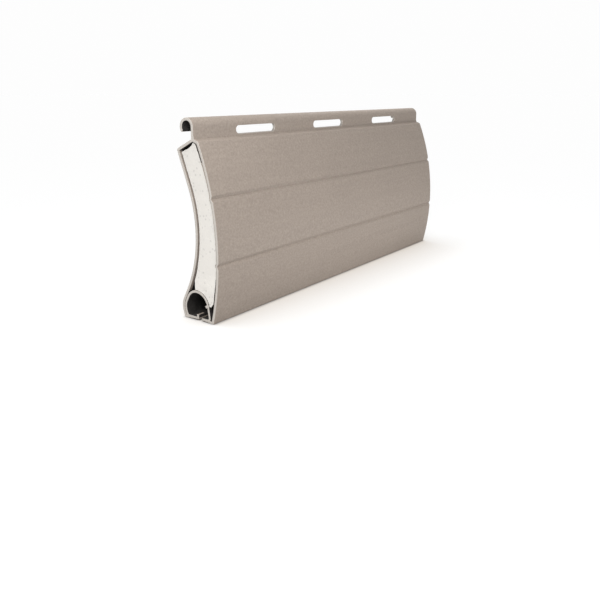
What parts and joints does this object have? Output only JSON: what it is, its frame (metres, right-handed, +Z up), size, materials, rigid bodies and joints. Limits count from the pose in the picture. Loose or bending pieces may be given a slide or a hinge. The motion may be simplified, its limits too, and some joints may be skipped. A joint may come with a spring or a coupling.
{
  "type": "roller shutter slat",
  "caption": "Foam-filled aluminium roller shutter slat cut to a short length, with a bowed grooved front, a hook with light slots on top and a hook chamber at its foot.",
  "frame": {"origin": "centre of the slat's length and depth, at the level of its feet", "axes": "+X along the slat, -Y out of the bowed front, +Z up towards the hook"},
  "size_m": [0.2, 0.0224, 0.087],
  "materials": {
    "greige_paint": "satin baked paint in a warm grey, bare on the cut ends",
    "white_foam": "open cut rigid foam with fine pores"
  },
  "bodies": {
    "root": {"aluminium_profile": "greige_paint", "foam_core": "white_foam"}
  },
  "joints": []
}
